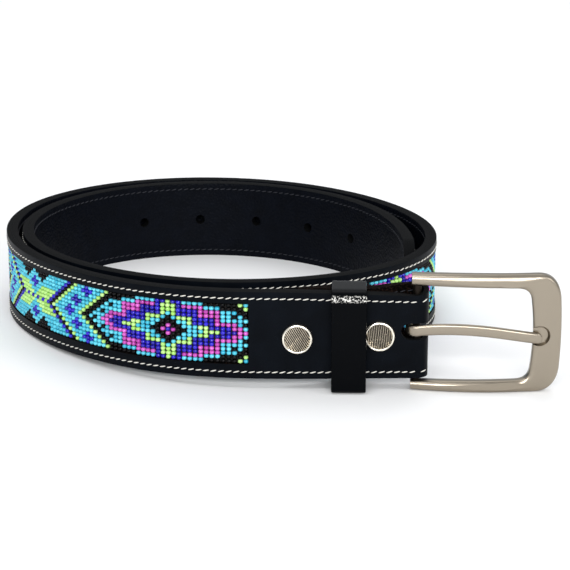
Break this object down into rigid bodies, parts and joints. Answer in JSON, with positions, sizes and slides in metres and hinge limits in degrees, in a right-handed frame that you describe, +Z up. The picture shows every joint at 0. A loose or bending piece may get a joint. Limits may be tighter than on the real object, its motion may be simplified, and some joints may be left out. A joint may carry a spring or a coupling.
{
  "type": "beaded belt",
  "caption": "Two-layer leather waist belt with a loomed bead panel, prong buckle, keeper loop and snap-fastened buckle fold, coiled on its lower edge.",
  "frame": {"origin": "on the surface that the coil stands on, under the middle of the whole belt with its buckle", "axes": "+Z up across the strap's width, +X along the buckle end towards the buckle's closed end, -Y out of the front of the buckle end"},
  "size_m": [0.2503, 0.2213, 0.0515],
  "materials": {
    "outer_leather": "smooth black leather with a low sheen",
    "lining_leather": "pebbled black lining leather",
    "beads": "opaque glass seed beads in five colours",
    "nickel": "satin nickel"
  },
  "bodies": {
    "belt": {"strap_face": "outer_leather", "strap_lining": "lining_leather", "bead_band": "beads", "keeper_loop": "outer_leather", "snap_cap_1": "nickel", "snap_cap_2": "nickel"},
    "frame": {"buckle_frame": "nickel"},
    "tongue": {"buckle_tongue": "nickel"}
  },
  "joints": [
    {"name": "frame_hinge", "type": "hinge", "parent": "belt", "child": "frame", "pos_m": [0.065, -0.1003, 0.02575], "axis": [0, 0, 1], "range_deg": [-30, 20]},
    {"name": "tongue_hinge", "type": "hinge", "parent": "frame", "child": "tongue", "pos_m": [0.065, -0.1003, 0.02575], "axis": [0, 0, 1], "range_deg": [-60, 0]}
  ]
}
